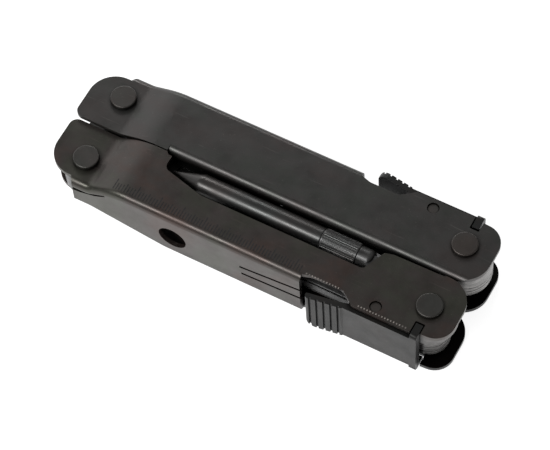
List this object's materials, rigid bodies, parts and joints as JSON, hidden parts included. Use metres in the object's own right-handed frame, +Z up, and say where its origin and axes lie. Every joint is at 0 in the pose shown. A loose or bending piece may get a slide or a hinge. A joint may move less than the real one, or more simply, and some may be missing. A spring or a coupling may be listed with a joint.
{
  "type": "folding multi tool",
  "caption": "Folding multi tool, shut: needle-nose pliers, a punch and locking blades fold out of two sheet-steel handles with ribbed lock levers.",
  "frame": {"origin": "middle of the shut tool, on the surface that its lower rivet heads rest on", "axes": "+X along the handles to the blade pivots, -Y to the front handle that carries the punch, +Z up"},
  "size_m": [0.1142, 0.0408, 0.019],
  "materials": {
    "handle_sheet": "black oxide, semi-gloss",
    "lever_steel": "worn black oxide, satin",
    "rivet_steel": "black oxide, satin",
    "plier_steel": "black oxide over forged steel, satin",
    "punch_steel": "black oxide over turned steel, semi-gloss",
    "blade_steel": "brushed, dark"
  },
  "bodies": {
    "front_handle": {"front_handle": "handle_sheet", "front_lever_pin": "rivet_steel", "front_plier_rivet": "rivet_steel", "front_tool_rivet": "rivet_steel", "front_tool_washers": "rivet_steel"},
    "front_lock_lever": {"front_lock_lever": "lever_steel"},
    "front_jaw": {"front_jaw": "plier_steel", "jaw_joint_pin": "rivet_steel"},
    "rear_jaw": {"rear_jaw": "plier_steel"},
    "rear_handle": {"rear_handle": "handle_sheet", "rear_lever_pin": "rivet_steel", "rear_plier_rivet": "rivet_steel", "rear_tool_rivet": "rivet_steel", "rear_tool_washers": "rivet_steel"},
    "rear_lock_lever": {"rear_lock_lever": "lever_steel"},
    "small_screwdriver": {"small_screwdriver": "blade_steel"},
    "large_screwdriver": {"large_screwdriver": "blade_steel"},
    "file": {"file": "blade_steel"},
    "knife_blade": {"knife_blade": "blade_steel"},
    "punch": {"punch_holder": "punch_steel", "punch_point": "punch_steel"},
    "can_opener": {"can_opener": "blade_steel"},
    "medium_screwdriver": {"medium_screwdriver": "blade_steel"},
    "phillips_driver": {"phillips_driver": "blade_steel"},
    "wood_saw": {"wood_saw": "blade_steel"},
    "serrated_blade": {"serrated_blade": "blade_steel"}
  },
  "joints": [
    {"name": "handle_fold", "type": "hinge", "parent": "front_handle", "child": "front_jaw", "pos_m": [-0.04785, -0.00957, 0.0095], "axis": [0, 0, 1], "range_deg": [0, 172]},
    {"name": "jaw_open", "type": "hinge", "parent": "front_jaw", "child": "rear_jaw", "pos_m": [-0.0335, 0, 0.0095], "axis": [0, 0, -1], "range_deg": [0, 26]},
    {"name": "rear_handle_fold", "type": "hinge", "parent": "rear_jaw", "child": "rear_handle", "pos_m": [-0.04785, 0.00957, 0.0095], "axis": [0, 0, 1], "range_deg": [0, 172]},
    {"name": "front_lever", "type": "hinge", "parent": "front_handle", "child": "front_lock_lever", "pos_m": [0.0375, -0.0155, 0.0095], "axis": [0, 0, -1], "range_deg": [0, 4], "stiffness_Nm_per_rad": 0.4, "springref_deg": -4.58},
    {"name": "small_screwdriver_fold", "type": "hinge", "parent": "front_handle", "child": "small_screwdriver", "pos_m": [0.04915, -0.00957, 0.0095], "axis": [0, 0, -1], "range_deg": [0, 180]},
    {"name": "large_screwdriver_fold", "type": "hinge", "parent": "front_handle", "child": "large_screwdriver", "pos_m": [0.04915, -0.00957, 0.0095], "axis": [0, 0, -1], "range_deg": [0, 180]},
    {"name": "file_fold", "type": "hinge", "parent": "front_handle", "child": "file", "pos_m": [0.04915, -0.00957, 0.0095], "axis": [0, 0, -1], "range_deg": [0, 180]},
    {"name": "knife_blade_fold", "type": "hinge", "parent": "front_handle", "child": "knife_blade", "pos_m": [0.04915, -0.00957, 0.0095], "axis": [0, 0, -1], "range_deg": [0, 180]},
    {"name": "punch_fold", "type": "hinge", "parent": "front_handle", "child": "punch", "pos_m": [0.04915, -0.00957, 0.0095], "axis": [0, 0, -1], "range_deg": [0, 180]},
    {"name": "rear_lever", "type": "hinge", "parent": "rear_handle", "child": "rear_lock_lever", "pos_m": [0.0375, 0.0155, 0.0095], "axis": [0, 0, 1], "range_deg": [0, 4], "stiffness_Nm_per_rad": 0.4, "springref_deg": -4.58},
    {"name": "can_opener_fold", "type": "hinge", "parent": "rear_handle", "child": "can_opener", "pos_m": [0.04915, 0.00957, 0.0095], "axis": [0, 0, 1], "range_deg": [0, 180]},
    {"name": "medium_screwdriver_fold", "type": "hinge", "parent": "rear_handle", "child": "medium_screwdriver", "pos_m": [0.04915, 0.00957, 0.0095], "axis": [0, 0, 1], "range_deg": [0, 180]},
    {"name": "phillips_driver_fold", "type": "hinge", "parent": "rear_handle", "child": "phillips_driver", "pos_m": [0.04915, 0.00957, 0.0095], "axis": [0, 0, 1], "range_deg": [0, 180]},
    {"name": "wood_saw_fold", "type": "hinge", "parent": "rear_handle", "child": "wood_saw", "pos_m": [0.04915, 0.00957, 0.0095], "axis": [0, 0, 1], "range_deg": [0, 180]},
    {"name": "serrated_blade_fold", "type": "hinge", "parent": "rear_handle", "child": "serrated_blade", "pos_m": [0.04915, 0.00957, 0.0095], "axis": [0, 0, 1], "range_deg": [0, 180]}
  ],
  "couplings": [
    {"joint": "jaw_open", "follows": "handle_fold", "ratio": 0.15},
    {"joint": "rear_handle_fold", "follows": "handle_fold", "ratio": 1},
    {"joint": "small_screwdriver_fold", "follows": "handle_fold", "ratio": 0.74},
    {"joint": "large_screwdriver_fold", "follows": "handle_fold", "ratio": 0.53},
    {"joint": "file_fold", "follows": "handle_fold", "ratio": 0.37},
    {"joint": "knife_blade_fold", "follows": "handle_fold", "ratio": 0.34},
    {"joint": "punch_fold", "follows": "handle_fold", "ratio": 0.26},
    {"joint": "can_opener_fold", "follows": "handle_fold", "ratio": 1},
    {"joint": "medium_screwdriver_fold", "follows": "handle_fold", "ratio": 0.86},
    {"joint": "phillips_driver_fold", "follows": "handle_fold", "ratio": 0.46},
    {"joint": "wood_saw_fold", "follows": "handle_fold", "ratio": 0.37},
    {"joint": "serrated_blade_fold", "follows": "handle_fold", "ratio": 0.34}
  ]
}
